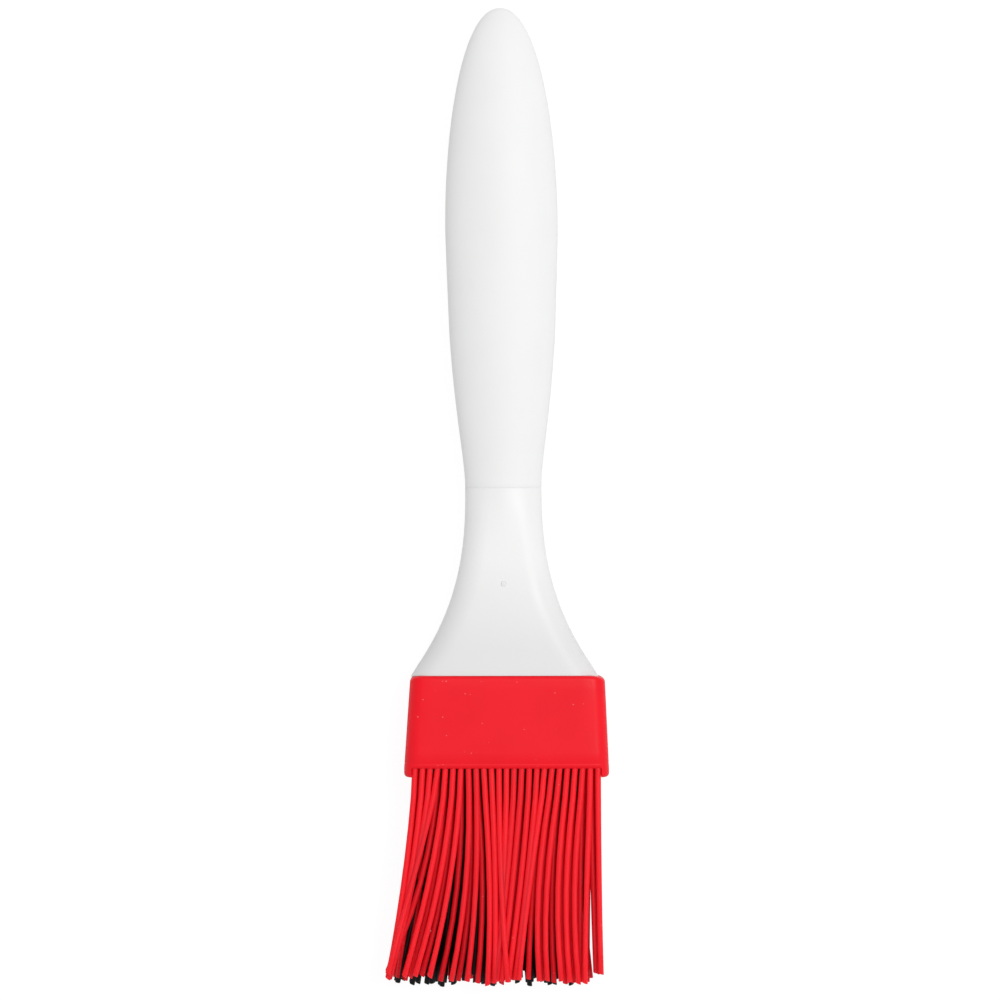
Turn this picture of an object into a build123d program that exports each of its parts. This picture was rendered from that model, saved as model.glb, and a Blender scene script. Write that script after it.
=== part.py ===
from build123d import *
import os
from math import cos, radians, sin

# Silicone pastry brush, lying on its back. Millimetres.
# +Y runs along the brush towards the butt of the handle, +X is to the right when the front
# faces the viewer with the handle up, and +Z points out of the front face. The origin is the
# middle of the sleeve's flat back face, so the brush lies on the plane Z = 0.

# Lengths along the brush
grip_length = 106.0  # butt end to the crease
neck_length = 41.8  # crease to the mouth of the sleeve
sleeve_length = 21.9  # mouth to the ends of the two cheeks
red_bristle_length = 46.8  # channel floor to the tips
black_bristle_length = 47.8
belly_from_butt = 49.0  # where the grip is widest; a half ellipse in outline above that

# Grip and neck sections
grip_width = 24.9
grip_thickness = 14.6
lower_grip_width = 21.8  # at lower_grip_share of the way from the belly to the crease
lower_grip_share = 0.585
waist_width = 16.9
waist_taper = 0.1  # slope of the grip's side where it meets the neck
flare_power = 2.5  # the neck widens with this power of the distance from the crease
neck_edge_share = 0.42  # corner radius of the neck as a share of its thickness
neck_sections = 8

# Tang inside the grip and tongue inside the sleeve
tang_width = 9.0
tang_thickness = 5.0
tang_corner = 2.0
butt_cover = 22.0  # solid grip past the end of the tang
bond_gap = 0.05  # between the tang and the moulded grip
tongue_corner = 3.0
tongue_fit = 0.3  # between the tongue and the pocket wall, on each side
rib_height = 0.2  # crush ribs take up most of that fit
rib_width = 1.2
rib_count = 5
rib_edge_gap = 3.0  # from the middle of the outermost ribs to where the tongue's corners begin
rib_root = 0.5  # how deep each rib is rooted in the tongue
tongue_end_gap = 0.5  # between the tongue and the black insert
mouth_gap = 0.1  # between the shoulder and the mouth of the sleeve

# Sleeve
hem_width = 45.3  # at the bristle end
sleeve_thickness = 14.6
sleeve_flare = 1.25  # each side widens this much from the mouth to the hem
sleeve_corner = 3.0
sleeve_wall = 1.9  # beside the pocket, at the mouth
shoulder_step = 0.6  # the sleeve stands this proud of the handle's shoulder
mouth_edge_radius = 1.2
cheek_height = 1.45  # the end cheeks stand this far past the channel floor
cheek_thickness = 1.4
cheek_edge_radius = 1.4
septum_thickness = 3.0

# Black insert
insert_gap = 0.1  # between the insert and the sleeve around it
flange_thickness = 1.5
flange_side_gap = 0.5125  # between the flange and the ends of the pocket
flange_face_gap = 0.643  # between the flange and the pocket's front and back
flange_corner = 1.6
window_corner = 0.8

# Bristles
side_bristles = 2  # red bristles at each end of an inner row
row_count = 8
outer_rows = 2  # all-red rows at the front and again at the back
stagger = 0.5  # every other inner row stands this share of a pitch to the right
cheek_gap = 0.475  # between a cheek and the last bristle beside it
row_inset = 0.4  # the outer rows stand this far inside the sleeve's faces
bristle_root_radius = 0.675
bristle_gap = 0.325  # about this much between neighbours in a row: as many stand in it as fit
bristle_tip_radius = 0.56
root_rod_radius = 0.7
root_gap = 0.12  # between the root rod and the channel floor
fan_angle = 7.5  # how far the leftmost bristles lean outwards
rod_end_gap = 0.15  # between the root rods of two colours in one row

# Stations along Y, worked out from the lengths
mouth_y = sleeve_length / 2
hem_y = -sleeve_length / 2
channel_y = hem_y + cheek_height
septum_y = channel_y + septum_thickness
flange_y = septum_y + flange_thickness
tongue_end_y = flange_y + tongue_end_gap
crease_y = mouth_y + neck_length
belly_y = crease_y + grip_length - belly_from_butt
butt_y = crease_y + grip_length
root_y = channel_y - root_gap - root_rod_radius
mid_z = sleeve_thickness / 2

# Widths and thicknesses that follow from the sleeve and the grip
tang_length = grip_length - butt_cover
mouth_width = hem_width - 2 * sleeve_flare
shoulder_width = mouth_width - 2 * shoulder_step
shoulder_thickness = sleeve_thickness - 2 * shoulder_step
waist_thickness = waist_width * grip_thickness / grip_width
pocket_width = mouth_width - 2 * sleeve_wall
pocket_thickness = sleeve_thickness - 2 * sleeve_wall
tongue_width = pocket_width - 2 * tongue_fit
tongue_thickness = pocket_thickness - 2 * tongue_fit
rib_spacing = (tongue_width - 2 * (tongue_corner + rib_edge_gap)) / (rib_count - 1)
flange_width = pocket_width - 2 * flange_side_gap
flange_height = pocket_thickness - 2 * flange_face_gap

# Bristles spread over the channel floor. Rows are counted from the front, and the black ones
# stand in a window of the septum.
row_room = hem_width - 2 * (cheek_thickness + cheek_gap)
bristles_in_row = round((row_room + bristle_gap) / (2 * bristle_root_radius + bristle_gap))
bristle_pitch = (row_room - 2 * bristle_root_radius) / (bristles_in_row - 1)
stack_height = sleeve_thickness - 2 * (row_inset + bristle_root_radius)
row_pitch = stack_height / (row_count - 1)
row_z = [mid_z + (row_count - 1 - 2 * row) * row_pitch / 2 for row in range(row_count)]
inner_rows = range(outer_rows, row_count - outer_rows)
black_in_row = bristles_in_row - 2 * side_bristles
window_width = black_in_row * bristle_pitch
window_height = len(inner_rows) * row_pitch


def across(y):
    """The plane across the brush at y, seen from the bristle end: its X is the brush's X."""
    return Plane(origin=(0, y, mid_z), x_dir=(1, 0, 0), z_dir=(0, -1, 0))


def neck_width(share):
    """Width of the neck at this share of the way from the crease to the mouth."""
    return waist_width + (shoulder_width - waist_width) * share**flare_power


def neck_thickness(share):
    """Thickness of the neck at this share of the way from the crease to the mouth."""
    return waist_thickness + (shoulder_thickness - waist_thickness) * share


def bristle_plane(index, z):
    """Where a bristle at this index in a row stands, pointing to its tip: the fan opens to the left."""
    x = (index - (bristles_in_row - 1) / 2) * bristle_pitch
    lean = radians(fan_angle * (1 - index / (bristles_in_row - 1)))
    return Plane(origin=(x, root_y, z), x_dir=(0, 0, 1), z_dir=(-sin(lean), -cos(lean), 0))


def bristle_row(runs, z, length):
    """Runs of bristles, each a first place and a count, on a root rod along the hinge line."""
    cone_length = length - root_gap - root_rod_radius
    with BuildPart() as row:
        for first, count in runs:
            left = (first - bristles_in_row / 2) * bristle_pitch + rod_end_gap / 2
            right = left + count * bristle_pitch - rod_end_gap
            with BuildSketch(Plane(origin=(left, root_y, z), x_dir=(0, 1, 0), z_dir=(1, 0, 0))):
                Circle(root_rod_radius)
            extrude(amount=right - left)
            with Locations(*[bristle_plane(first + step, z) for step in range(count)]):
                Cone(
                    bristle_root_radius,
                    bristle_tip_radius,
                    cone_length,
                    align=(Align.CENTER, Align.CENTER, Align.MIN),
                )
    return row


def save(piece, name):
    """Label the piece and write its STEP file."""
    piece.part.label = name
    export_step(piece.part, f"parts/{name}.step")


os.makedirs("parts", exist_ok=True)

# Grip: an oval body of revolution, flattened front to back, moulded over the tang
lower_y = belly_y - lower_grip_share * (belly_y - crease_y)
with BuildPart() as oval_body:
    with BuildSketch(Plane.XY):
        with BuildLine():
            EllipticalCenterArc((0, belly_y), grip_width / 2, belly_from_butt, arc_size=90)
            Spline(
                (grip_width / 2, belly_y),
                (lower_grip_width / 2, lower_y),
                (waist_width / 2, crease_y),
                tangents=((0, -1), (-waist_taper, -1)),
            )
            Line((waist_width / 2, crease_y), (0, crease_y))
            Line((0, crease_y), (0, butt_y))
        make_face()
    revolve(axis=Axis.Y)
    scale(by=(1, 1, grip_thickness / grip_width))
with BuildPart() as grip:
    add(oval_body.part.moved(Location((0, 0, mid_z))))
    with BuildSketch(across(crease_y + tang_length + bond_gap)):
        RectangleRounded(tang_width + 2 * bond_gap, tang_thickness + 2 * bond_gap, tang_corner)
    extrude(amount=tang_length + bond_gap, mode=Mode.SUBTRACT)
save(grip, "grip")

# Handle core: tang, waisted neck, shoulder and the tongue that plugs into the sleeve
with BuildPart() as handle_core:
    for step in range(neck_sections):
        share = step / (neck_sections - 1)
        thickness = neck_thickness(share)
        with BuildSketch(across(crease_y - share * (neck_length - mouth_gap))):
            RectangleRounded(neck_width(share), thickness, neck_edge_share * thickness)
    loft()
    with BuildSketch(across(crease_y)):
        RectangleRounded(tang_width, tang_thickness, tang_corner)
    extrude(amount=-tang_length)
    with BuildSketch(across(mouth_y + mouth_gap)):
        RectangleRounded(tongue_width, tongue_thickness, tongue_corner)
    extrude(amount=mouth_y + mouth_gap - tongue_end_y)
    rib_offset = tongue_thickness + rib_height - rib_root
    with BuildSketch(across(mouth_y + mouth_gap)):
        with GridLocations(rib_spacing, rib_offset, rib_count, 2):
            Rectangle(rib_width, rib_height + rib_root)
    extrude(amount=mouth_y + mouth_gap - tongue_end_y)
save(handle_core, "handle_core")

# Sleeve: flared silicone shell with flat faces, open at the mouth, with a septum that carries
# the bristles and two end cheeks that stand past the channel floor
with BuildPart() as sleeve:
    with BuildSketch(Plane.XY):
        with BuildLine():
            Polyline(
                (-mouth_width / 2, mouth_y),
                (mouth_width / 2, mouth_y),
                (hem_width / 2, hem_y),
                (-hem_width / 2, hem_y),
                close=True,
            )
        make_face()
    extrude(amount=sleeve_thickness)
    long_edges = sleeve.edges().filter_by(Axis.X, reverse=True).filter_by(Axis.Z, reverse=True)
    fillet(long_edges, sleeve_corner)
    fillet(sleeve.faces().sort_by(Axis.Y)[-1].edges(), mouth_edge_radius)
    fillet(sleeve.faces().sort_by(Axis.Y)[0].edges(), cheek_edge_radius)
    with BuildSketch(across(channel_y)):
        Rectangle(hem_width - 2 * cheek_thickness, 2 * sleeve_thickness)
    extrude(amount=cheek_height, mode=Mode.SUBTRACT)
    with BuildSketch(across(mouth_y)):
        RectangleRounded(pocket_width, pocket_thickness, tongue_corner)
    extrude(amount=mouth_y - septum_y, mode=Mode.SUBTRACT)
    with BuildSketch(across(septum_y)):
        RectangleRounded(window_width, window_height, window_corner)
    extrude(amount=septum_thickness, mode=Mode.SUBTRACT)
save(sleeve, "sleeve")

# Black insert: its plug fills the window in the septum and its flange bears on the septum
with BuildPart() as black_insert:
    with BuildSketch(across(flange_y)):
        RectangleRounded(flange_width, flange_height, flange_corner)
    extrude(amount=flange_thickness)
    with BuildSketch(across(septum_y)):
        RectangleRounded(
            window_width - 2 * insert_gap, window_height - 2 * insert_gap, window_corner
        )
    extrude(amount=septum_thickness)
save(black_insert, "black_insert")

# Bristle rows: all red at the front and the back, black between red ends inside. A staggered
# row has one black bristle fewer.
for row, z in enumerate(row_z):
    if row in inner_rows:
        staggered = inner_rows.index(row) % 2 == 0
        left_end = stagger if staggered else 0
        black_start = left_end + side_bristles
        black_count = black_in_row - 1 if staggered else black_in_row
        black_run = [(black_start, black_count)]
        red_runs = [(left_end, side_bristles), (black_start + black_count, side_bristles)]
        save(bristle_row(black_run, z, black_bristle_length), f"black_bristle_row_{row + 1}")
        save(bristle_row(red_runs, z, red_bristle_length), f"red_side_bristles_row_{row + 1}")
    else:
        full_run = [(0, bristles_in_row)]
        save(bristle_row(full_run, z, red_bristle_length), f"red_bristle_row_{row + 1}")
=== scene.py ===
import math
import random

import bmesh
import bpy
from mathutils import Matrix, Vector
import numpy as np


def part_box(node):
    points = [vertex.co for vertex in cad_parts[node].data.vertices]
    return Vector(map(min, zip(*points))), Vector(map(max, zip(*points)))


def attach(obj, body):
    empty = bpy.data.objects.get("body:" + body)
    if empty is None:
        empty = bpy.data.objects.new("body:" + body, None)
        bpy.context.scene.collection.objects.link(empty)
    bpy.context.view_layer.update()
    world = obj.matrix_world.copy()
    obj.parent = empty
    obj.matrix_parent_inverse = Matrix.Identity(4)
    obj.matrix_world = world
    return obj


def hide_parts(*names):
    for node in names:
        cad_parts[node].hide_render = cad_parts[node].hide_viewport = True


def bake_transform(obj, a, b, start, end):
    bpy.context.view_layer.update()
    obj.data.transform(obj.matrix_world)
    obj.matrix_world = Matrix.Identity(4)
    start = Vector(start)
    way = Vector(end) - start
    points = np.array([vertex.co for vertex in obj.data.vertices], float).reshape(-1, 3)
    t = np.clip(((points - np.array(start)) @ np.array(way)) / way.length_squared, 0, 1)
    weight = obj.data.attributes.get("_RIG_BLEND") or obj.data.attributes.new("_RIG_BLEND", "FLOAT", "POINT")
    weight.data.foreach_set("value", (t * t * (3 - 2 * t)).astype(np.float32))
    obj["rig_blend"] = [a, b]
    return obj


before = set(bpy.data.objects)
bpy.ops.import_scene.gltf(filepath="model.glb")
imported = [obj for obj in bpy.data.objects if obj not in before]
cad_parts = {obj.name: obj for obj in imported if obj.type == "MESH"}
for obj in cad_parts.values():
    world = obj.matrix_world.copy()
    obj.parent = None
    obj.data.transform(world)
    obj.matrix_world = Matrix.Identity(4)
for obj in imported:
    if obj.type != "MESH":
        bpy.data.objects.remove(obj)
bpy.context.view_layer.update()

bl_info = {
    "name": "Silicone pastry brush",
    "version": (1, 0, 0),
    "blender": (4, 5, 0),
    "location": "3D View > Sidebar > Pastry brush",
    "description": "Models the handle, sleeve and bristles of a silicone pastry brush",
    "category": "Object",
}

MM = 0.001
GRIP_LOW, GRIP_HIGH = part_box("grip")
CORE_LOW, CORE_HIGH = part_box("handle_core")
SLEEVE_LOW, SLEEVE_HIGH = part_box("sleeve")
INSERT_LOW, INSERT_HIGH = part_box("black_insert")

BUTT_Y = GRIP_HIGH.y
CREASE_Y = GRIP_LOW.y
MOUTH_Y = SLEEVE_HIGH.y + 0.4 * MM  # the rim stands a little above its solid
HEM_Y = SLEEVE_LOW.y
FLOOR_Y = INSERT_LOW.y  # the channel floor that the bristles stand on
MID_Z = (SLEEVE_LOW.z + SLEEVE_HIGH.z) / 2
FLATTENING = (GRIP_HIGH.z - GRIP_LOW.z) / (GRIP_HIGH.x - GRIP_LOW.x)

BRISTLES_IN_ROW = 25
ROW_NUMBERS = range(1, 9)
BLACK_ROWS = range(3, 7)
STAGGERED_ROWS = (3, 5)  # inner rows half a pitch to the right, with one black bristle fewer
SIDE_BRISTLES = 2
FANNED_BRISTLES = 12  # the left ones of a row, which drift towards the left corner

SOCKET_DEPTH = 84 * MM  # of the grip, for the tang
SHOULDER_GAP = 0.03 * MM  # between the neck's shoulder and the sleeve's mouth
RIBS_PER_FACE = 5
RIB_PITCH = 6.5 * MM
RIB_WIDTH, RIB_HEIGHT = 1.2 * MM, 0.7 * MM
RIB_RAMP = 2.4 * MM
GATE_SHARE = 0.51  # of the neck's length from the crease

CORNER_DROP = 0.6 * MM  # how much lower the mouth stands at its corners
CORNER_START, CORNER_REACH = 18.4, 3  # where that begins from the middle, and over how many mm

DIM_RED = Vector((0.58, 0.005, 0.013))  # red bristles in the shade of the others
SPECK_SHARPNESS = 14.0
SKY_STRENGTH = 0.58
FLOOR_GLOW = 1.05

# How each front bristle runs, from the left: sideways drift at a third of its length and at its
# tip, then how far its tip stands in front of its row, all in millimetres
FRONT_RUNS = (
    (-1.3, -6.3, 0.0), (-1.5, -7.6, -0.3), (-2.0, -9.0, -0.1), (-3.1, -11.3, 1.2),
    (-1.9, -9.4, 0.0),
    (-1.5, -8.7, 0.1), (-1.2, -7.2, -0.1), (-0.1, -4.1, 0.1), (0.1, -2.3, -0.2), (0.8, 0.5, 0.2),
    (0.5, 0.4, 0.0), (0.1, 1.6, 0.9), (-0.4, -2.4, -0.4), (-0.9, -4.6, -0.2), (-1.2, -4.7, 0.0),
    (-1.1, -5.0, 0.1), (-1.3, -5.1, -0.1), (-2.0, -6.0, 0.3), (-2.1, -3.2, 0.1), (-2.0, -3.1, 0.0),
    (-1.6, -1.7, 0.1), (-1.5, -1.5, -0.1), (-1.4, -1.3, 0.2), (-0.6, -1.5, 0.1), (0.0, 0.3, 0.0),
)
# Bristles of the second row that have swung out from behind the front row, by index
STRAYS = {3: (-1.6, -11.4, 0.8), 23: (0.2, 0.9, 0.4), 24: (0.0, 0.4, 0.0)}


def length_setting(name, description, millimetres):
    return bpy.props.FloatProperty(
        name=name, description=description, default=millimetres * MM, min=0, unit="LENGTH"
    )


def colour_setting(name, description, colour):
    return bpy.props.FloatVectorProperty(
        name=name, description=description, default=colour, size=3, min=0, max=1, subtype="COLOR"
    )


def factor_setting(name, description, value):
    return bpy.props.FloatProperty(
        name=name, description=description, default=value, min=0, max=1, subtype="FACTOR"
    )


class HandleSettings(bpy.types.PropertyGroup):
    belly_from_butt: length_setting("Belly from butt", "From the butt to the widest part", 49)
    butt_fullness: factor_setting("Butt fullness", "Lower is blunter, 0.5 is a true ellipse", 0.46)
    crease_rounding: length_setting("Crease rounding", "Edge radius where grip and neck meet", 0.06)
    shoulder_width: length_setting("Shoulder width", "Width of the neck at the sleeve", 41.5)
    shoulder_thickness: length_setting("Shoulder thickness", "Thickness at the sleeve", 13.4)
    shoulder_rounding: length_setting("Shoulder rounding", "Radius of its last edge", 0.1)
    tongue_width: length_setting("Tongue width", "Width of the tongue inside the sleeve", 38.4)
    tongue_thickness: length_setting("Tongue thickness", "Thickness of the tongue", 10.2)
    tang_width: length_setting("Tang width", "Width of the tang inside the grip", 9.0)
    tang_thickness: length_setting("Tang thickness", "Thickness of the tang", 5.0)
    gate_radius: length_setting("Gate mark", "Radius of the moulding mark on the neck", 0.55)
    white: colour_setting("Handle white", "Colour of the frosted plastic", (0.9, 0.9, 0.9))
    roughness: factor_setting("Roughness", "Roughness of the frosted plastic", 0.55)


class HeadSettings(bpy.types.PropertyGroup):
    corner: length_setting("Corner", "Corner radius of the sleeve's section", 3.0)
    wall: length_setting("Wall", "Silicone beside the pocket at the mouth", 1.9)
    rim_radius: length_setting("Rim radius", "Outer edge radius of the mouth", 0.8)
    lip_rounding: length_setting("Lip rounding", "Edge radius of the front and back lips", 0.8)
    hem_width: length_setting("Hem width", "Width of the sleeve at the bristle end", 45.3)
    flare: length_setting("Flare", "How much each side widens from the mouth to the hem", 1.25)
    cheek_thickness: length_setting("Cheek thickness", "Thickness of the end cheeks", 1.8)
    lip_rise: length_setting("Lip rise", "How far the lips end above the insert's face", 0.5)
    cheek_gap: length_setting("Cheek gap", "Between a cheek and the bristle beside it", 0.075)
    septum: length_setting("Septum", "Thickness of the wall that carries the bristles", 3.0)
    flange_side: length_setting("Flange at the ends", "How far the insert's flange overlaps", 1.4)
    flange_face: length_setting("Flange at the faces", "How far it overlaps at front and back", 1.2)
    window_gap: length_setting("Window gap", "Clearance around the black insert", 0.05)
    side_shift: length_setting("Side shift", "How far the head sits to the right", 0.28)
    tilt: factor_setting("Tilt", "How much the sleeve falls to the right, over its width", 0.006)
    skew: length_setting("Skew", "How much further right the mouth sits than the hem", 0.35)
    red: colour_setting("Red", "Colour of the red silicone", (0.94, 0.006, 0.018))
    # painted light: the bristles get a brighter copy of the red, standing in for the light on their round
    # sides
    bristle_red_lit_copy: colour_setting("Bristle red", "The thin bristles, brighter", (1.0, 0.016, 0.028))
    black: colour_setting("Black", "Colour of the black silicone", (0.0036, 0.0031, 0.0033))
    roughness: factor_setting("Roughness", "Roughness of the silicone", 0.42)


class BristleSettings(bpy.types.PropertyGroup):
    root_radius: length_setting("Root radius", "Bristle radius at the floor", 0.675)
    tip_radius: length_setting("Tip radius", "Bristle radius at the tip", 0.62)
    red_length: length_setting("Red length", "Floor to tip of the red bristles", 47.2)
    black_length: length_setting("Black length", "Floor to tip of the black bristles", 47.8)
    sunk: length_setting("Sunk", "How far the bristle roots run into the floor", 1.0)
    tip_bevel: length_setting("Tip bevel", "Bevel around the cut tips", 0.16)
    fan: length_setting("Fan", "Sideways drift of the leftmost tips", 5.5)
    wander: length_setting("Wander", "Random sideways drift at the tips", 1.1)
    bend_reach: length_setting("Bend reach", "Length over which a pushed row bends", 12)


class BrushSettings(bpy.types.PropertyGroup):
    handle: bpy.props.PointerProperty(type=HandleSettings)
    head: bpy.props.PointerProperty(type=HeadSettings)
    bristles: bpy.props.PointerProperty(type=BristleSettings)


# ---- Finishes


def add_node(tree, kind, inputs=None, **settings):
    """Add a node, then set its own settings and its inputs, by a value or by a link."""
    node = tree.nodes.new(kind)
    for name, value in settings.items():
        setattr(node, name, value)
    for name, value in (inputs or {}).items():
        if isinstance(value, bpy.types.NodeSocket):
            tree.links.new(value, node.inputs[name])
        else:
            node.inputs[name].default_value = value
    return node


def new_group(name, inputs, outputs):
    """Start a shader node group and return it with its input and output nodes."""
    group = bpy.data.node_groups.new(name, "ShaderNodeTree")
    for socket, kind in inputs:
        group.interface.new_socket(socket, in_out="INPUT", socket_type=kind)
    for socket, kind in outputs:
        group.interface.new_socket(socket, in_out="OUTPUT", socket_type=kind)
    return group, group.nodes.new("NodeGroupInput"), group.nodes.new("NodeGroupOutput")


def moulded_grain_group():
    """The fine spark-eroded grain of a mould, with the slight waviness that shrinkage leaves."""
    name = "Moulded grain"
    if name in bpy.data.node_groups:
        return bpy.data.node_groups[name]
    group, given, result = new_group(
        name,
        [("Vector", "NodeSocketVector"), ("Grain size", "NodeSocketFloat"),
         ("Waviness", "NodeSocketFloat")],
        [("Height", "NodeSocketFloat"), ("Tone", "NodeSocketFloat")],
    )
    density = add_node(
        group, "ShaderNodeMath", {0: 1.0, 1: given.outputs["Grain size"]}, operation="DIVIDE"
    )
    fine = add_node(
        group, "ShaderNodeTexNoise",
        {"Vector": given.outputs["Vector"], "Scale": density.outputs[0], "Detail": 3.0,
         "Roughness": 0.6},
    )
    broad = add_node(
        group, "ShaderNodeTexNoise",
        {"Vector": given.outputs["Vector"], "Scale": 90.0, "Detail": 2.0, "Roughness": 0.45},
    )
    wave = add_node(
        group, "ShaderNodeMath", {0: broad.outputs["Fac"], 1: given.outputs["Waviness"]},
        operation="MULTIPLY",
    )
    both = add_node(
        group, "ShaderNodeMath", {0: fine.outputs["Fac"], 1: wave.outputs[0]}, operation="ADD"
    )
    group.links.new(both.outputs[0], result.inputs["Height"])
    group.links.new(broad.outputs["Fac"], result.inputs["Tone"])
    return group


def dust_specks_group():
    """Sparse lint and flour specks, a few tenths of a millimetre across."""
    name = "Dust specks"
    if name in bpy.data.node_groups:
        return bpy.data.node_groups[name]
    group, given, result = new_group(
        name,
        [("Vector", "NodeSocketVector"), ("Spacing", "NodeSocketFloat"),
         ("Size", "NodeSocketFloat"), ("Share", "NodeSocketFloat")],
        [("Mask", "NodeSocketFloat")],
    )
    density = add_node(
        group, "ShaderNodeMath", {0: 1.0, 1: given.outputs["Spacing"]}, operation="DIVIDE"
    )
    cells = add_node(
        group, "ShaderNodeTexVoronoi",
        {"Vector": given.outputs["Vector"], "Scale": density.outputs[0]},
    )
    chance = add_node(group, "ShaderNodeSeparateColor", {"Color": cells.outputs["Color"]})
    chosen = add_node(
        group, "ShaderNodeMath", {0: chance.outputs["Red"], 1: given.outputs["Share"]},
        operation="LESS_THAN",
    )
    reach = add_node(
        group, "ShaderNodeMath", {0: chance.outputs["Green"], 1: given.outputs["Size"]},
        operation="MULTIPLY",
    )
    edge = add_node(
        group, "ShaderNodeMath", {0: reach.outputs[0], 1: cells.outputs["Distance"]},
        operation="SUBTRACT",
    )
    soft = add_node(
        group, "ShaderNodeMath", {0: edge.outputs[0], 1: SPECK_SHARPNESS},
        operation="MULTIPLY", use_clamp=True,
    )
    mask = add_node(
        group, "ShaderNodeMath", {0: soft.outputs[0], 1: chosen.outputs[0]}, operation="MULTIPLY"
    )
    group.links.new(mask.outputs[0], result.inputs["Mask"])
    return group


def start_material(name, centre):
    """A material with its shader and with Object coordinates centred on a piece."""
    material = bpy.data.materials.new(name)
    material.use_nodes = True
    tree = material.node_tree
    shader = tree.nodes["Principled BSDF"]
    place = add_node(tree, "ShaderNodeTexCoord")
    centred = add_node(
        tree, "ShaderNodeMapping", {"Vector": place.outputs["Object"], "Location": -Vector(centre)}
    )
    return material, tree, shader, centred.outputs["Vector"]


def place_group(tree, group, vector, **values):
    node = tree.nodes.new("ShaderNodeGroup")
    node.node_tree = group
    tree.links.new(vector, node.inputs["Vector"])
    for name, value in values.items():
        node.inputs[name.replace("_", " ").capitalize()].default_value = value
    return node


def mixed_colour(tree, factor, first, second):
    """A colour that turns from the first to the second with a factor."""
    mix = tree.nodes.new("ShaderNodeMix")
    mix.data_type = "RGBA"
    tree.links.new(factor, mix.inputs["Factor"])
    for socket, colour in ((mix.inputs[6], first), (mix.inputs[7], second)):
        if isinstance(colour, bpy.types.NodeSocket):
            tree.links.new(colour, socket)
        else:
            socket.default_value = (*colour, 1)
    return mix.outputs[2]


def mapped(tree, value, low, high, from_low=0.0, from_high=1.0):
    """A value carried from one range to another."""
    node = add_node(
        tree, "ShaderNodeMapRange",
        {"Value": value, "From Min": from_low, "From Max": from_high, "To Min": low,
         "To Max": high},
    )
    return node.outputs["Result"]


def bump(tree, height, strength, distance):
    node = add_node(
        tree, "ShaderNodeBump", {"Height": height, "Strength": strength, "Distance": distance}
    )
    return node.outputs["Normal"]


def white_plastic(name, centre, grain_size, grain_depth, roughness, painted_shade_span=None):
    """Frosted white thermoplastic: near white, faintly translucent, with a fine mould grain, and where asked
    a painted shade that turns it greyer along the brush.
    """
    handle = bpy.context.scene.pastry_brush.handle
    material, tree, shader, vector = start_material(name, centre)
    grain = place_group(tree, moulded_grain_group(), vector, grain_size=grain_size, waviness=0.8)
    white = Vector(handle.white)
    tone = mapped(tree, grain.outputs["Tone"], 0.0, 1.0, 0.3, 0.7)
    colour = mixed_colour(tree, tone, white * 0.985, white)
    if painted_shade_span:  # painted shade: greyer between two places along the brush
        along = add_node(tree, "ShaderNodeSeparateXYZ", {0: vector})
        start, end = (y - centre[1] for y in painted_shade_span)
        low = mapped(tree, along.outputs["Y"], 0.0, 1.0, start, end)
        colour = mixed_colour(tree, low, colour, white * 0.88)
    specks = place_group(tree, dust_specks_group(), vector, spacing=9 * MM, size=0.03, share=0.3)
    tree.links.new(
        mixed_colour(tree, specks.outputs["Mask"], colour, white * 0.8), shader.inputs["Base Color"]
    )
    tree.links.new(
        mapped(tree, grain.outputs["Tone"], roughness - 0.05, roughness + 0.05, 0.3, 0.7),
        shader.inputs["Roughness"],
    )
    tree.links.new(bump(tree, grain.outputs["Height"], 0.25, grain_depth), shader.inputs["Normal"])
    shader.inputs["IOR"].default_value = 1.46
    shader.inputs["Subsurface Weight"].default_value = 0.12
    shader.inputs["Subsurface Radius"].default_value = (1.0, 0.95, 0.9)
    shader.inputs["Subsurface Scale"].default_value = 1.2 * MM
    return material


def red_silicone(name, centre, speck_share, by_bristle=False):
    """Soft red silicone: saturated, satin, with mould grain and a little lint caught on it; for the bristles
    also a painted shade by row, a brighter painted-light red and a faint painted glow.
    """
    head = bpy.context.scene.pastry_brush.head
    material, tree, shader, vector = start_material(name, centre)
    grain = place_group(tree, moulded_grain_group(), vector, grain_size=0.35 * MM, waviness=0.6)
    # the bristles take the brighter red, which is painted light
    red = Vector(head.bristle_red_lit_copy if by_bristle else head.red)
    tone = mapped(tree, grain.outputs["Tone"], 0.0, 1.0, 0.3, 0.7)
    colour = mixed_colour(tree, tone, red * 0.95, red)
    if by_bristle:
        # painted shade: a low bristle tone turns the red towards DIM_RED; the inner rows get low tones, and
        # the rest of the tone is random
        own = add_node(tree, "ShaderNodeAttribute", attribute_name="bristle_tone_and_shade")
        colour = mixed_colour(tree, own.outputs["Fac"], DIM_RED, colour)
    specks = place_group(
        tree, dust_specks_group(), vector, spacing=1.3 * MM, size=0.15, share=speck_share
    )
    pale = mapped(tree, specks.outputs["Mask"], 0.0, 0.4)
    tree.links.new(
        mixed_colour(tree, pale, colour, (0.95, 0.45, 0.45)), shader.inputs["Base Color"]
    )
    if by_bristle:  # painted glow: a faint emission standing in for light that has come through the thin silicone
        tree.links.new(colour, shader.inputs["Emission Color"])
        shader.inputs["Emission Strength"].default_value = 0.07
    tree.links.new(
        mapped(tree, grain.outputs["Tone"], head.roughness - 0.06, head.roughness + 0.06, 0.3, 0.7),
        shader.inputs["Roughness"],
    )
    tree.links.new(bump(tree, grain.outputs["Height"], 0.2, 0.03 * MM), shader.inputs["Normal"])
    shader.inputs["IOR"].default_value = 1.41
    shader.inputs["Specular IOR Level"].default_value = 0.28
    shader.inputs["Subsurface Weight"].default_value = 0.6 if by_bristle else 0.15
    shader.inputs["Subsurface Radius"].default_value = (1.0, 0.12, 0.1)
    shader.inputs["Subsurface Scale"].default_value = (1.3 if by_bristle else 0.8) * MM
    return material


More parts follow.
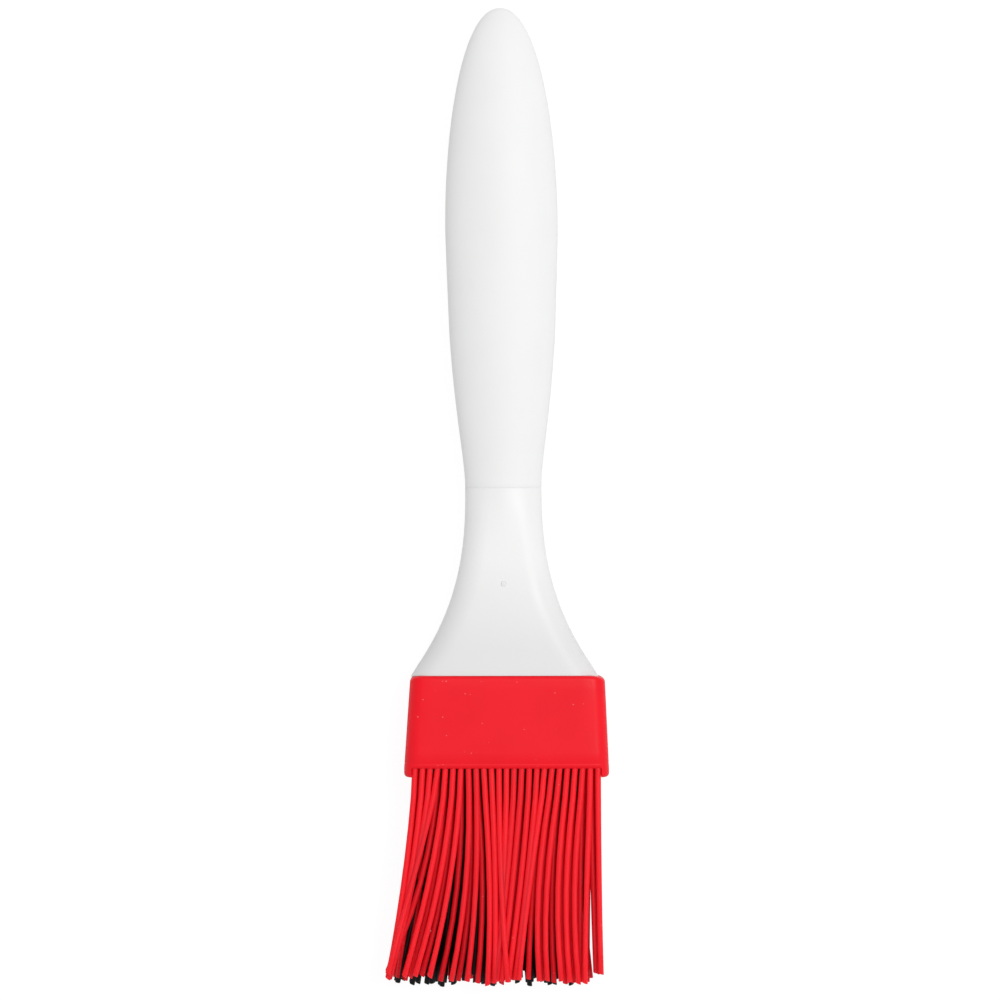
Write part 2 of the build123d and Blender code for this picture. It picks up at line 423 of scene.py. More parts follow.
def black_silicone(name, centre, by_bristle=False):
    """Soft black silicone with the same mould grain and lint."""
    head = bpy.context.scene.pastry_brush.head
    material, tree, shader, vector = start_material(name, centre)
    grain = place_group(tree, moulded_grain_group(), vector, grain_size=0.35 * MM, waviness=0.6)
    black = Vector(head.black)
    tone = mapped(tree, grain.outputs["Tone"], 0.0, 1.0, 0.3, 0.7)
    colour = mixed_colour(tree, tone, black, black * 1.5)
    if by_bristle:
        own = add_node(tree, "ShaderNodeAttribute", attribute_name="bristle_tone_and_shade")
        colour = mixed_colour(tree, own.outputs["Fac"], black * 0.8, colour)
    specks = place_group(tree, dust_specks_group(), vector, spacing=3 * MM, size=0.1, share=0.2)
    pale = mapped(tree, specks.outputs["Mask"], 0.0, 0.3)
    tree.links.new(mixed_colour(tree, pale, colour, (0.2, 0.2, 0.2)), shader.inputs["Base Color"])
    tree.links.new(
        mapped(tree, grain.outputs["Tone"], head.roughness, head.roughness + 0.1, 0.3, 0.7),
        shader.inputs["Roughness"],
    )
    tree.links.new(bump(tree, grain.outputs["Height"], 0.2, 0.03 * MM), shader.inputs["Normal"])
    shader.inputs["IOR"].default_value = 1.41
    shader.inputs["Specular IOR Level"].default_value = 0.3
    return material


# ---- Shapes


def smooth_through(stations, place):
    """The height at a place on a smooth curve through (place, height) stations."""
    spans = zip(stations, stations[1:])
    index = next((i for i, (_, b) in enumerate(spans) if place <= b[0]), len(stations) - 2)
    (x0, y0), (x1, y1) = stations[index], stations[index + 1]
    before = stations[max(index - 1, 0)]
    after = stations[min(index + 2, len(stations) - 1)]
    width = x1 - x0
    slope0 = (y1 - before[1]) / (x1 - before[0]) * width
    slope1 = (after[1] - y0) / (after[0] - x0) * width
    t = (place - x0) / width
    return (
        (2 * t**3 - 3 * t**2 + 1) * y0 + (t**3 - 2 * t**2 + t) * slope0
        + (3 * t**2 - 2 * t**3) * y1 + (t**3 - t**2) * slope1
    )


def rounded_ring(y, width, thickness, corner, crown=0.0, mark=None, shift=0.0):
    """Points around a rounded rectangle across the brush at y, with slightly crowned faces.

    A mark is the distance from the middle at which each corner has a point.
    """
    half_width, half_thickness = width / 2, thickness / 2
    start = half_width - corner
    split = math.asin(min(max((mark - start) / corner, 0.2), 0.9)) if mark else math.radians(40)
    turns = [split * i / 3 for i in range(3)] + [
        split + (math.pi / 2 - split) * i / 5 for i in range(6)
    ]
    face = [start * (2 * i / 16 - 1) for i in range(1, 16)]

    def crowned(x):
        at_corner = crown * (1 - (start / half_width) ** 2)
        return crown * (1 - min(abs(x) / half_width, 1) ** 2) - at_corner

    quarter = [
        (start + corner * math.sin(a), half_thickness - corner + corner * math.cos(a))
        for a in turns
    ]
    front = [(x, half_thickness + max(crowned(x), 0)) for x in face]
    points = front + quarter
    side = [(half_width, (half_thickness - corner) * s) for s in (0.33, -0.33)]
    points += side if half_thickness - corner > 0.05 * MM else []
    points += [(x, -z) for x, z in reversed(quarter)]
    points += [(x, -z) for x, z in reversed(front)]
    points += [(-x, -z) for x, z in quarter]
    points += [(-x, z) for x, z in reversed(side)] if half_thickness - corner > 0.05 * MM else []
    points += [(-x, z) for x, z in reversed(quarter)]
    return [Vector((x + shift, y, MID_Z + z)) for x, z in points]


def corner_drop(x):
    """How much lower the mouth of the sleeve stands towards its rounded corners."""
    return CORNER_DROP * min(max(abs(x) / MM - CORNER_START, 0) / CORNER_REACH, 1) ** 2


def grow_rings(bm, rings):
    """Start from a circle on the first ring, then extrude its rim from ring to ring.

    Returns the first and the last rim as lists of edges.
    """
    column = bm.verts.layers.int.get("column") or bm.verts.layers.int.new("column")
    verts = bmesh.ops.create_circle(bm, segments=len(rings[0]), radius=1)["verts"]
    for index, vert in enumerate(verts):
        vert[column] = index
        vert.co = rings[0][index]
    rim = list({edge for vert in verts for edge in vert.link_edges})
    first = list(rim)
    for ring in rings[1:]:
        grown = bmesh.ops.extrude_edge_only(bm, edges=rim)["geom"]
        fresh = {item for item in grown if isinstance(item, bmesh.types.BMVert)}
        for vert in fresh:
            vert.co = ring[vert[column]]
        rim = [edge for vert in fresh for edge in vert.link_edges if set(edge.verts) <= fresh]
        rim = list(dict.fromkeys(rim))
    return first, rim


def finish_piece(bm, name, material, slot, *nodes, body=None, sharp=32):
    """Turn a bmesh into a piece that stands for its CAD nodes and rides on a body."""
    if bm.verts.layers.int.get("column"):
        bm.verts.layers.int.remove(bm.verts.layers.int["column"])
    bmesh.ops.remove_doubles(bm, verts=bm.verts, dist=0.0005 * MM)
    bmesh.ops.recalc_face_normals(bm, faces=bm.faces)
    mesh = bpy.data.meshes.new(name)
    bm.to_mesh(mesh)
    bm.free()
    mesh.polygons.foreach_set("use_smooth", [True] * len(mesh.polygons))
    mesh.set_sharp_from_angle(angle=math.radians(sharp))
    piece = bpy.data.objects.new(name, mesh)
    bpy.context.scene.collection.objects.link(piece)
    mesh.materials.append(material)
    if body:
        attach(piece, body)
    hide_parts(*nodes)
    return piece


def grip_half_width(from_butt):
    """Half the grip's width at a distance from the butt."""
    handle = bpy.context.scene.pastry_brush.handle
    belly = GRIP_HIGH.x
    if from_butt < handle.belly_from_butt:
        away = (handle.belly_from_butt - from_butt) / handle.belly_from_butt
        return belly * max(1 - away**2, 0) ** handle.butt_fullness
    lower_grip = (
        (43, 1.0), (49, 1.0), (64.6, 0.96), (73.4, 0.932), (82.3, 0.8755), (91.1, 0.799),
        (99.9, 0.711), (104.4, 0.678), (106, 0.677),
    )
    return belly * smooth_through(lower_grip, from_butt / MM)


def neck_share_to_width(share, handle):
    """The neck's width at a share of its length from the crease."""
    waist = 2 * grip_half_width(BUTT_Y - CREASE_Y)
    return waist + (handle.shoulder_width - waist) * share**2.5


class BRUSH_OT_grip(bpy.types.Operator):
    """Spin the oval grip, flatten it and open the socket for the tang"""

    bl_idname = "pastry_brush.grip"
    bl_label = "Grip"

    def execute(self, context):
        handle = context.scene.pastry_brush.handle
        bm = bmesh.new()
        length = BUTT_Y - CREASE_Y
        turn = handle.belly_from_butt
        profile = [(0.0, 0.0)]
        for step in range(1, 31):
            away = math.cos(math.pi / 2 * step / 30)
            from_butt = turn * (1 - away)
            profile.append((grip_half_width(from_butt), from_butt))
        rounding = handle.crease_rounding
        for step in range(1, 37):
            from_butt = turn + (length - rounding - turn) * step / 36
            profile.append((grip_half_width(from_butt), from_butt))
        waist = grip_half_width(length)
        for step in range(1, 5):
            angle = math.pi / 2 * step / 4
            profile.append(
                (
                    waist - rounding * (1 - math.cos(angle)),
                    length - rounding * (1 - math.sin(angle)),
                )
            )
        verts = [bm.verts.new((x, BUTT_Y - from_butt, 0)) for x, from_butt in profile]
        edges = [bm.edges.new(pair) for pair in zip(verts, verts[1:])]
        bmesh.ops.spin(
            bm, geom=verts + edges, cent=(0, 0, 0), axis=(0, 1, 0), angle=2 * math.pi, steps=96,
            use_merge=True,
        )
        bmesh.ops.remove_doubles(bm, verts=bm.verts, dist=0.001 * MM)
        rim = [edge for edge in bm.edges if edge.is_boundary]
        socket = (
            handle.tang_width / 2 + 0.05 * MM, handle.tang_thickness / 2 / FLATTENING + 0.05 * MM
        )
        for depth in (0, SOCKET_DEPTH):
            grown = bmesh.ops.extrude_edge_only(bm, edges=rim)["geom"]
            fresh = {item for item in grown if isinstance(item, bmesh.types.BMVert)}
            for vert in fresh:
                angle = math.atan2(vert.co.z, vert.co.x)
                across, up = abs(math.cos(angle)) / socket[0], abs(math.sin(angle)) / socket[1]
                reach = (across**5 + up**5) ** -0.2
                vert.co = (math.cos(angle) * reach, CREASE_Y + depth, math.sin(angle) * reach)
            rim = list({e for v in fresh for e in v.link_edges if set(e.verts) <= fresh})
        bmesh.ops.contextual_create(bm, geom=rim)
        bmesh.ops.scale(bm, vec=(1, 1, FLATTENING), verts=bm.verts)
        bmesh.ops.translate(bm, vec=(0, 0, MID_Z), verts=bm.verts)
        material = white_plastic(
            "frosted_white_grip", (0, BUTT_Y / 2, MID_Z), 0.45 * MM, 0.03 * MM, handle.roughness
        )
        finish_piece(bm, "soft_grip", material, "white_grip", "grip", body="handle", sharp=50)
        return {"FINISHED"}


class BRUSH_OT_handle_core(bpy.types.Operator):
    """Grow the tang, the waisted neck, its shoulder and the ribbed tongue"""

    bl_idname = "pastry_brush.handle_core"
    bl_label = "Handle core"

    def execute(self, context):
        handle = context.scene.pastry_brush.handle
        bm = bmesh.new()
        waist = neck_share_to_width(0, handle)
        rings = [
            rounded_ring(
                CORE_HIGH.y, handle.tang_width - 1 * MM, handle.tang_thickness - 1 * MM, 1.5 * MM
            ),
            rounded_ring(CORE_HIGH.y - 0.5 * MM, handle.tang_width, handle.tang_thickness, 2 * MM),
            rounded_ring(CREASE_Y, handle.tang_width, handle.tang_thickness, 2 * MM),
        ]
        neck_length = CREASE_Y - MOUTH_Y - SHOULDER_GAP
        tilt = context.scene.pastry_brush.head.tilt

        def neck_ring(share, inset=0.0):
            width = neck_share_to_width(share, handle) - 2 * inset
            waist_thickness = waist * FLATTENING
            thickness = waist_thickness + (handle.shoulder_thickness - waist_thickness) * share
            corner = (0.48 - 0.08 * share) * thickness
            ring = rounded_ring(
                CREASE_Y - share * neck_length, width, thickness - 2 * inset, corner - inset,
                crown=0.35 * MM,
            )
            ovalness = max(1 - share / 0.35, 0) ** 1.5  # it leaves the grip as an oval
            for point in ring:
                reach = math.hypot(
                    point.x / (width / 2), (point.z - MID_Z) / (thickness / 2 - inset)
                )
                point.x += point.x * (1 / reach - 1) * ovalness
                point.z += (point.z - MID_Z) * (1 / reach - 1) * ovalness
                # its end follows the sleeve's mouth
                point.y -= point.x * tilt * share**4 + corner_drop(point.x) * share**8
            return ring

        rings += [neck_ring(0, 0.05 * MM), neck_ring(0.002, 0.01 * MM)]
        rings += [neck_ring(0.012 + (0.985 - 0.012) * step / 30) for step in range(31)]
        edge = handle.shoulder_rounding
        last = 1 - edge / neck_length
        for angle in (30, 60, 90):
            turn = math.radians(angle)
            rings.append(
                neck_ring(last + (1 - last) * math.sin(turn), edge * (1 - math.cos(turn)))
            )
        tongue_end = CORE_LOW.y
        width, thickness = handle.tongue_width, handle.tongue_thickness
        rings += [
            rounded_ring(MOUTH_Y + SHOULDER_GAP, width, thickness, 3 * MM),
            rounded_ring(tongue_end + 0.8 * MM, width, thickness, 3 * MM),
            rounded_ring(tongue_end + 0.2 * MM, width - 0.5 * MM, thickness - 0.5 * MM, 2.8 * MM),
            rounded_ring(tongue_end, width - 1.2 * MM, thickness - 1.2 * MM, 2.4 * MM),
        ]
        for rim in grow_rings(bm, rings):
            bmesh.ops.contextual_create(bm, geom=rim)
        rib_length = MOUTH_Y - tongue_end - 0.6 * MM
        for side in (-1, 1):
            for index in range(RIBS_PER_FACE):
                made = bmesh.ops.create_cube(bm, size=1)["verts"]
                bmesh.ops.scale(bm, vec=(RIB_WIDTH, rib_length, RIB_HEIGHT), verts=made)
                for vert in made:
                    if vert.co.y < 0 and vert.co.z * side > 0:
                        vert.co.y += RIB_RAMP  # the leading end ramps up
                        vert.co.x *= 0.7
                place = (
                    (index - RIBS_PER_FACE // 2) * RIB_PITCH, (MOUTH_Y + tongue_end) / 2 + 0.3 * MM,
                    MID_Z + side * (thickness / 2 - 0.15 * MM),
                )
                bmesh.ops.translate(bm, vec=place, verts=made)
        self.add_gate_mark(bm, handle)
        # painted shade: the neck is painted greyer from 37 mm down to 17 mm, towards the shoulder
        material = white_plastic(
            "satin_white_core", (0, CREASE_Y / 2, MID_Z), 0.6 * MM, 0.02 * MM,
            handle.roughness - 0.08, painted_shade_span=(37 * MM, 17 * MM),
        )
        finish_piece(bm, "neck_and_tongue", material, "white_core", "handle_core", body="handle")
        return {"FINISHED"}

    def add_gate_mark(self, bm, handle):
        """A small ring with a pip in it, where the plastic entered the mould."""
        radius = handle.gate_radius
        y = CREASE_Y - GATE_SHARE * (CREASE_Y - MOUTH_Y)
        waist_thickness = neck_share_to_width(0, handle) * FLATTENING
        thickness = waist_thickness + (handle.shoulder_thickness - waist_thickness) * GATE_SHARE
        outline = (
            (0, 0.10), (0.35, 0.10), (0.45, 0.02), (0.7, 0.02), (0.8, 0.09), (1.0, 0.09),
            (1.1, -0.2),
        )
        verts = [bm.verts.new((reach * radius, 0, height * MM)) for reach, height in outline]
        edges = [bm.edges.new(pair) for pair in zip(verts, verts[1:])]
        bmesh.ops.spin(
            bm, geom=verts + edges, cent=(0, 0, 0), axis=(0, 0, 1), angle=2 * math.pi, steps=24,
            use_merge=True,
        )
        ring = set(verts)
        for _ in range(40):
            ring |= {edge.other_vert(v) for v in set(ring) for edge in v.link_edges}
        bmesh.ops.translate(bm, vec=(0, y, MID_Z + thickness / 2 + 0.3 * MM), verts=list(ring))


class BRUSH_OT_sleeve(bpy.types.Operator):
    """Grow the red sleeve with its mouth, pocket, septum window, lips and end cheeks"""

    bl_idname = "pastry_brush.sleeve"
    bl_label = "Sleeve"

    def execute(self, context):
        head = context.scene.pastry_brush.head
        bm = bmesh.new()
        hem_width, flare = head.hem_width, head.flare
        mouth_width = hem_width - 2 * flare
        full = SLEEVE_HIGH.z - SLEEVE_LOW.z
        cheek_mark = hem_width / 2 - head.cheek_thickness
        shift = head.side_shift
        floor_y = FLOOR_Y + head.lip_rise

        def width_at(y):
            return hem_width - 2 * flare * (y - HEM_Y) / (MOUTH_Y - HEM_Y)

        def outer_ring(y, inset=0.0, lip=0.0):
            points = rounded_ring(
                y, width_at(y) - 2 * inset, full - 2 * inset, head.corner - inset, mark=cheek_mark
            )
            for point in points:
                if abs(point.x) < cheek_mark - 0.01 * MM:
                    point.z -= math.copysign(lip, point.z - MID_Z)
                point.x += shift + head.skew * max(y - floor_y, 0) / (MOUTH_Y - floor_y)
            return points

        lip, rim = head.lip_rounding, head.rim_radius
        rings = [outer_ring(floor_y, lip=lip)]
        for angle in (30, 60, 90):
            turn = math.radians(angle)
            rings.append(
                outer_ring(floor_y + lip * (1 - math.cos(turn)), lip=lip * (1 - math.sin(turn)))
            )
        for above, inset in ((0.2, 0), (0.35, 0.07), (0.5, 0)):  # a fine line above the lips
            rings.append(outer_ring(floor_y + lip + above * MM, inset=inset * MM))
        top = MOUTH_Y - rim
        wall_start = floor_y + lip + 0.5 * MM
        rings += [outer_ring(wall_start + (top - wall_start) * step / 8) for step in range(1, 9)]
        for angle in (18, 36, 54, 72, 90):
            turn = math.radians(angle)
            rings.append(outer_ring(top + rim * math.sin(turn), inset=rim * (1 - math.cos(turn))))
        pocket_width, pocket_thickness = mouth_width - 2 * head.wall, full - 2 * head.wall
        septum_y = floor_y + head.septum
        pocket = (
            (MOUTH_Y, -0.4), (MOUTH_Y - 0.3 * MM, 0), (septum_y + 0.4 * MM, 0), (septum_y, 0.8)
        )
        for y, less in pocket:
            rings.append(
                rounded_ring(
                    y, pocket_width - less * MM, pocket_thickness - less * MM, 3 * MM,
                    mark=cheek_mark, shift=shift,
                )
            )
        window_width = INSERT_HIGH.x - INSERT_LOW.x - 2 * head.flange_side + 2 * head.window_gap
        window_height = INSERT_HIGH.z - INSERT_LOW.z - 2 * head.flange_face + 2 * head.window_gap
        for y in (septum_y, floor_y):
            rings.append(
                rounded_ring(y, window_width, window_height, 0.8 * MM, mark=cheek_mark, shift=shift)
            )
        first, window = grow_rings(bm, rings)
        self.add_floor_and_cheeks(bm, first, window, cheek_mark, shift, floor_y)
        for vert in bm.verts:
            height = max(vert.co.y - floor_y, 0) / (MOUTH_Y - floor_y)
            vert.co.y -= corner_drop(vert.co.x - shift) * height**8
            vert.co.y -= vert.co.x * head.tilt
        material = red_silicone("red_silicone_sleeve", (0, 0, MID_Z), 0.7)
        finish_piece(bm, "red_sleeve", material, "red_silicone", "sleeve", body="head", sharp=40)
        return {"FINISHED"}

    def add_floor_and_cheeks(self, bm, outer, window, cheek_mark, shift, floor_y):
        """Close the floor around the window, and extrude the two end cheeks from its ends."""
        verts = {vert for edge in outer for vert in edge.verts}
        crossings = []
        for side in (-1, 1):
            edge_line = [v for v in verts if abs((v.co.x - shift) * side - cheek_mark) < 0.02 * MM]
            if len(edge_line) != 2:
                raise RuntimeError("the floor's rim has no point where a cheek begins")
            crossing = bm.edges.new(edge_line)
            crossings.append(crossing)
            ends = [
                e for e in outer
                if all((v.co.x - shift) * side > cheek_mark - 0.02 * MM for v in e.verts)
            ]
            end_face = bmesh.ops.contextual_create(bm, geom=ends + [crossing])["faces"][0]
            grown = bmesh.ops.extrude_face_region(bm, geom=[end_face])["geom"]
            bmesh.ops.delete(bm, geom=[end_face], context="FACES_ONLY")
            fresh = [item for item in grown if isinstance(item, bmesh.types.BMVert)]
            bmesh.ops.translate(bm, vec=(0, HEM_Y - floor_y, 0), verts=fresh)
            cheek_height = floor_y - HEM_Y
            low = set(fresh)
            outer_low = [
                e for e in bm.edges
                if set(e.verts) <= low
                and not all(abs((v.co.x - shift) * side - cheek_mark) < 0.02 * MM for v in e.verts)
            ]
            bmesh.ops.bevel(
                bm, geom=outer_low, offset=min(0.8 * cheek_height, 1.6 * MM), offset_type="OFFSET",
                affect="EDGES", segments=4, profile=0.5, material=-1, clamp_overlap=True,
            )
        middle = [
            e for e in outer
            if e.is_valid and all(abs(v.co.x - shift) < cheek_mark + 0.02 * MM for v in e.verts)
        ]
        bmesh.ops.triangle_fill(
            bm, use_beauty=True, edges=middle + crossings + window, normal=(0, -1, 0)
        )


class BRUSH_OT_black_insert(bpy.types.Operator):
    """Give the black insert its silicone finish"""

    bl_idname = "pastry_brush.black_insert"
    bl_label = "Black insert"

    def execute(self, context):
        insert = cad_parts["black_insert"]
        insert.data.materials.clear()
        insert.data.materials.append(black_silicone("black_silicone_insert", (0, FLOOR_Y, MID_Z)))
        return {"FINISHED"}


def straight_bristle(length):
    """One straight bristle as a mesh to copy: a beveled cone along -Y from the origin."""
    sizes = bpy.context.scene.pastry_brush.bristles
    bm = bmesh.new()
    turned = Matrix.Rotation(math.radians(90), 4, "X") @ Matrix.Rotation(math.radians(22.5), 4, "Z")
    verts = bmesh.ops.create_cone(
        bm, cap_ends=True, segments=8, radius1=sizes.root_radius, radius2=sizes.tip_radius,
        depth=length, matrix=Matrix.Translation((0, -length / 2, 0)) @ turned,
    )["verts"]
    low, high = min(v.co.y for v in verts), max(v.co.y for v in verts)
    middle = (low + high) / 2
    tip_rim = [e for e in bm.edges if all(v.co.y < middle for v in e.verts)]
    bmesh.ops.bevel(
        bm, geom=tip_rim, offset=sizes.tip_bevel, offset_type="OFFSET", affect="EDGES", segments=1,
        profile=0.5, material=-1,
    )
    long_edges = [e for e in bm.edges if abs(e.verts[0].co.y - e.verts[1].co.y) > length / 2]
    bmesh.ops.subdivide_edges(bm, edges=long_edges, cuts=6)
    mesh = bpy.data.meshes.new("straight_bristle")
    bm.to_mesh(mesh)
    bm.free()
    return mesh


def eased(share):
    """Share of the drift that is reached: a bristle leaves the floor square, then leans."""
    return 1.12 * share**2 / (share + 0.12)


def add_bristle(bm, pattern, pattern_length, length, root, run, tip_slant, tone):
    """Copy the straight bristle at its own length, bend it along its run and slant its tip."""
    before = len(bm.verts)
    bm.from_mesh(pattern)
    bm.verts.ensure_lookup_table()
    tones = bm.verts.layers.float["bristle_tone_and_shade"]
    at_third, at_tip, forward = (value * MM for value in run)
    third = eased(1 / 3)
    straight = (at_third - third**2 * at_tip) / (third - third**2)
    bow = at_tip - straight
    shortened = math.cos(math.atan2(abs(at_tip) + 0.3 * abs(at_third), length))
    for vert in bm.verts[before:]:
        vert[tones] = tone
        share = -vert.co.y / pattern_length
        bent = eased(share)
        slope = (straight + 2 * bow * bent) * min(share / 0.15, 1) / length
        across = vert.co.x
        vert.co.x = root.x + straight * bent + bow * bent**2 + across * math.cos(math.atan(slope))
        vert.co.z = root.z + forward * bent**2 + vert.co.z
        vert.co.y = root.y - length * share * shortened + across * math.sin(math.atan(slope))
        if share > 0.97:
            vert.co.y += across * tip_slant


def row_centre(number):
    """The height of a row's middle plane."""
    low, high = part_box(row_nodes(number)[0])
    return (low.z + high.z) / 2


def row_nodes(number):
    """The CAD nodes in a row, its main colour first."""
    if number in BLACK_ROWS:
        return f"black_bristle_row_{number}", f"red_side_bristles_row_{number}"
    return (f"red_bristle_row_{number}",)


def bristle_run(number, index, rng, sizes):
    """How a bristle runs: the front row as set out above, the others fan and clump by chance."""
    if number == 1:
        return FRONT_RUNS[index]
    if number == 2:
        if index in STRAYS:
            return STRAYS[index]
        # it shows between the front bristle it stands behind and the next one
        near, far = FRONT_RUNS[index], FRONT_RUNS[min(index + 1, BRISTLES_IN_ROW - 1)]
        third, tip = ((near[i] + far[i]) / 2 + share for i, share in ((0, 0.5), (1, 0.8)))
        return third, tip + rng.uniform(-0.2, 0.2), rng.uniform(-0.2, 0.2)
    clump = math.sin(index * 1.9 + number * 2.3) * 0.6 + math.sin(index * 0.7 + number) * 0.4
    wander = rng.uniform(-1, 1) * sizes.wander / MM * 0.6
    lean = -sizes.fan / MM * max(1 - index / FANNED_BRISTLES, 0) ** 1.1
    if number in BLACK_ROWS and index > 1:
        lean -= 0.8 * max(5 - index, 0)  # the leftmost black ones reach under the red corner
    third = 0.2 * lean + 0.3 * clump + rng.uniform(-0.25, 0.25)
    forward = rng.uniform(-0.3, 0.3)
    if index == BRISTLES_IN_ROW - 1:  # the right edge stays straight
        return 0.1 * clump, 0.3 + 0.2 * clump, forward
    if index == BRISTLES_IN_ROW - 2:  # and leaves a notch beside it
        if number in STAGGERED_ROWS:
            return 0.0, 0.9, forward
        return -0.4, -1.1 + 0.2 * clump, forward
    if index > FANNED_BRISTLES:
        third -= 1.1 - abs(index - 18) / 12
    return third, lean + clump + wander - 0.4, forward


def make_bristles(name, number, indices, length, colour, material, slot, nodes):
    """Build the bristles of one colour in one row, and let them bend at the root."""
    settings = bpy.context.scene.pastry_brush
    sizes = settings.bristles
    bm = bmesh.new()
    bm.verts.layers.float.new("bristle_tone_and_shade")
    pattern = straight_bristle(length + sizes.sunk)
    rng = random.Random(40 + number * 2 + (colour == "black"))
    head = settings.head
    room = head.hem_width - 2 * (head.cheek_thickness + head.cheek_gap + sizes.root_radius)
    pitch = room / (BRISTLES_IN_ROW - 1)
    z = row_centre(number)
    stagger = 0.5 if number in STAGGERED_ROWS else 0
    outer_row = number in (ROW_NUMBERS[0], ROW_NUMBERS[-1])
    for index in indices:
        run = bristle_run(number, index, rng, sizes)
        x = (index + stagger - (BRISTLES_IN_ROW - 1) / 2) * pitch + head.side_shift
        short = rng.uniform(0, 2.8 if colour == "black" and index > 6 else 0.7) * MM
        if colour == "red" or index > 5:
            short += 0.12 * abs(run[1]) * MM
        if index + stagger > BRISTLES_IN_ROW - 1.6 or (number, index) == (2, BRISTLES_IN_ROW - 2):
            short += 1.8 * MM  # the last ones at the right are cut shorter
        # painted shade: bristles of the inner rows get a lower tone than the front and back rows, plus a
        # random part
        add_bristle(
            bm, pattern, length + sizes.sunk, length + sizes.sunk - short,
            Vector((x, FLOOR_Y + sizes.sunk, z)), run, rng.uniform(-0.5, 0.5),
            (0.65 if outer_row else 0.0) + 0.35 * rng.random(),
        )
    bpy.data.meshes.remove(pattern)
    piece = finish_piece(bm, name, material, slot, *nodes, sharp=50)
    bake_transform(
        piece, "head", f"row_{number}",
        start=(0, FLOOR_Y, z), end=(0, FLOOR_Y - sizes.bend_reach, z),
    )
    return piece


class BRUSH_OT_red_bristles(bpy.types.Operator):
    """Stand the red bristles: whole rows at the front and back, two at each end inside"""

    bl_idname = "pastry_brush.red_bristles"
    bl_label = "Red bristles"

    def execute(self, context):
        sizes = context.scene.pastry_brush.bristles
        material = red_silicone("red_silicone_bristles", (0, FLOOR_Y, MID_Z), 0.12, by_bristle=True)
        for number in ROW_NUMBERS:
            inner = number in BLACK_ROWS
            last = BRISTLES_IN_ROW - 1 - (number in STAGGERED_ROWS)
            ends = [*range(SIDE_BRISTLES), *range(last - SIDE_BRISTLES + 1, last + 1)]
            make_bristles(
                f"red_side_bristles_{number}" if inner else f"red_bristles_{number}", number,
                ends if inner else range(BRISTLES_IN_ROW), sizes.red_length, "red", material,
                "red_silicone", row_nodes(number)[-1:],
            )
        return {"FINISHED"}


class BRUSH_OT_black_bristles(bpy.types.Operator):
    """Stand the longer black bristles in the inner rows"""

    bl_idname = "pastry_brush.black_bristles"
    bl_label = "Black bristles"

    def execute(self, context):
        sizes = context.scene.pastry_brush.bristles
        material = black_silicone("black_silicone_bristles", (0, FLOOR_Y, MID_Z), by_bristle=True)
        for number in BLACK_ROWS:
            last = BRISTLES_IN_ROW - SIDE_BRISTLES - (number in STAGGERED_ROWS)
            make_bristles(
                f"black_bristles_{number}", number, range(SIDE_BRISTLES, last),
                sizes.black_length, "black", material, "black_silicone", row_nodes(number)[:1],
            )
        return {"FINISHED"}


def soft_light(name, place, target, size, power):
    light = bpy.data.lights.new(name, "AREA")
    light.shape = "DISK"
    light.size = size
    light.energy = power
    lamp = bpy.data.objects.new(name, light)
    lamp.location = place
    lamp.rotation_euler = (Vector(target) - Vector(place)).to_track_quat("-Z", "Y").to_euler()
    bpy.context.scene.collection.objects.link(lamp)


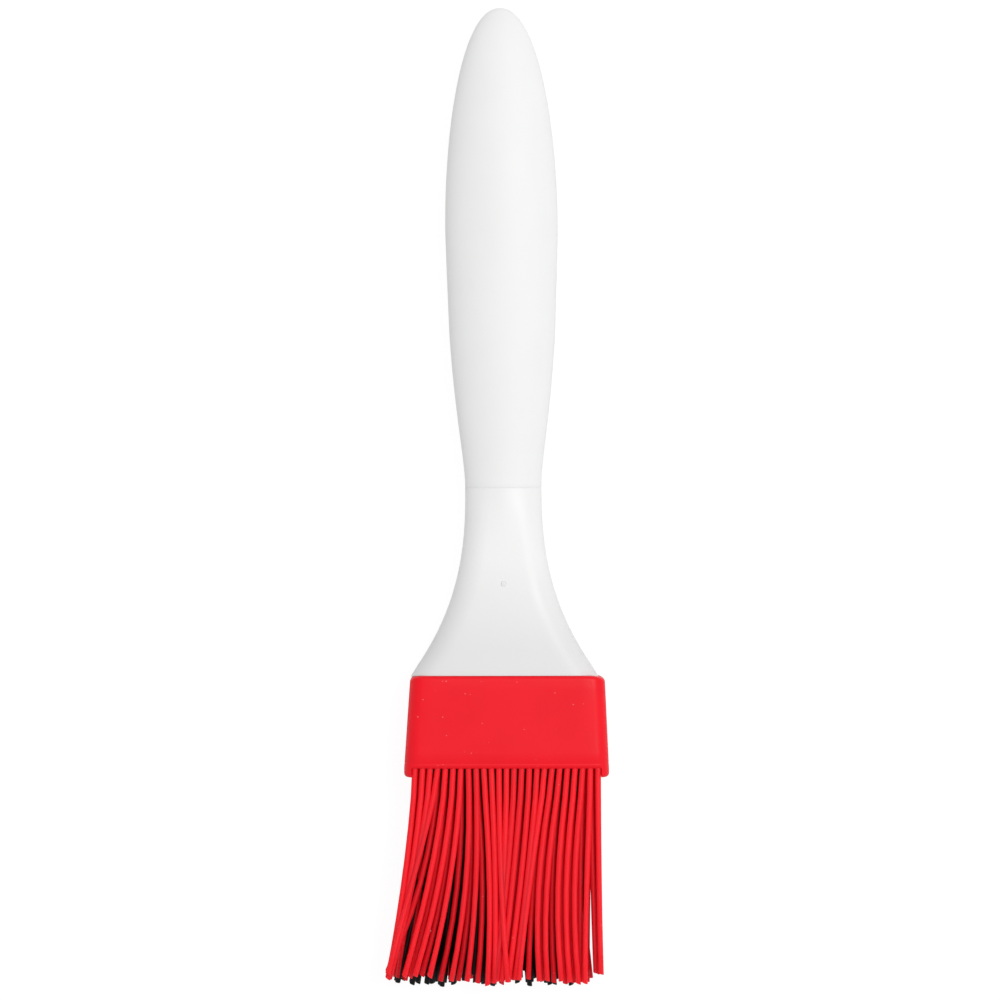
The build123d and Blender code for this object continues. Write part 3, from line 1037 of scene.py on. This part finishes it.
class BRUSH_OT_stage(bpy.types.Operator):
    """Set the pale floor, the soft studio light and the camera"""

    bl_idname = "pastry_brush.stage"
    bl_label = "Stage"

    def execute(self, context):
        scene = context.scene
        bm = bmesh.new()
        bmesh.ops.create_grid(bm, x_segments=1, y_segments=1, size=3)
        mesh = bpy.data.meshes.new("floor")
        bm.to_mesh(mesh)
        bm.free()
        floor = bpy.data.objects.new("floor", mesh)
        floor.location.z = -0.2 * MM
        scene.collection.objects.link(floor)
        mesh.materials.append(self.pale_floor())

        world = bpy.data.worlds.new("studio")
        world.use_nodes = True
        sky = world.node_tree.nodes["Background"]
        sky.inputs["Color"].default_value = (1, 1, 1, 1)
        sky.inputs["Strength"].default_value = SKY_STRENGTH
        scene.world = world
        soft_light("key", (0.5, 0.35, 1.4), (0, 0.05, 0), 0.55, 10.0)
        scene.view_settings.view_transform = "Standard"

        camera = bpy.data.cameras.new("camera")
        camera.lens = 145.35
        camera.sensor_width = 36
        viewer = bpy.data.objects.new("camera", camera)
        viewer.location = (-0.75 * MM, 50.0 * MM, 0.9)
        viewer.rotation_euler = (0, 0, math.radians(-0.4))
        scene.collection.objects.link(viewer)
        scene.camera = viewer
        return {"FINISHED"}

    def pale_floor(self):
        """A light box: bright to the eye, plain matt white to everything that stands on it."""
        material = bpy.data.materials.new("pale_floor")
        material.use_nodes = True
        tree = material.node_tree
        matt = tree.nodes["Principled BSDF"]
        matt.inputs["Base Color"].default_value = (0.88, 0.88, 0.88, 1)
        matt.inputs["Roughness"].default_value = 0.9
        matt.inputs["Specular IOR Level"].default_value = 0.2
        glow = add_node(tree, "ShaderNodeEmission", {"Strength": FLOOR_GLOW})
        path = add_node(tree, "ShaderNodeLightPath")
        seen = add_node(
            tree, "ShaderNodeMath", {0: path.outputs["Is Camera Ray"], 1: 0.9}, operation="MULTIPLY"
        )
        mix = add_node(tree, "ShaderNodeMixShader", {"Fac": seen.outputs[0]})
        tree.links.new(matt.outputs["BSDF"], mix.inputs[1])
        tree.links.new(glow.outputs["Emission"], mix.inputs[2])
        tree.links.new(mix.outputs["Shader"], tree.nodes["Material Output"].inputs["Surface"])
        return material


class BRUSH_PT_panel(bpy.types.Panel):
    bl_label = "Pastry brush"
    bl_idname = "BRUSH_PT_panel"
    bl_space_type = "VIEW_3D"
    bl_region_type = "UI"
    bl_category = "Pastry brush"

    def draw(self, context):
        settings = context.scene.pastry_brush
        for group in (settings.handle, settings.head, settings.bristles):
            box = self.layout.box()
            for name in group.bl_rna.properties.keys():
                if name not in {"rna_type", "name"}:
                    box.prop(group, name)
        for operator in OPERATORS:
            self.layout.operator(operator.bl_idname)


OPERATORS = (
    BRUSH_OT_grip,
    BRUSH_OT_handle_core,
    BRUSH_OT_sleeve,
    BRUSH_OT_black_insert,
    BRUSH_OT_red_bristles,
    BRUSH_OT_black_bristles,
    BRUSH_OT_stage,
)
CLASSES = (HandleSettings, HeadSettings, BristleSettings, BrushSettings, *OPERATORS, BRUSH_PT_panel)


def register():
    for cls in CLASSES:
        bpy.utils.register_class(cls)
    bpy.types.Scene.pastry_brush = bpy.props.PointerProperty(type=BrushSettings)


def unregister():
    del bpy.types.Scene.pastry_brush
    for cls in reversed(CLASSES):
        bpy.utils.unregister_class(cls)


def main():
    register()
    bpy.ops.pastry_brush.grip()
    bpy.ops.pastry_brush.handle_core()
    bpy.ops.pastry_brush.sleeve()
    bpy.ops.pastry_brush.black_insert()
    bpy.ops.pastry_brush.red_bristles()
    bpy.ops.pastry_brush.black_bristles()
    bpy.ops.pastry_brush.stage()


if __name__ == "__main__":
    main()
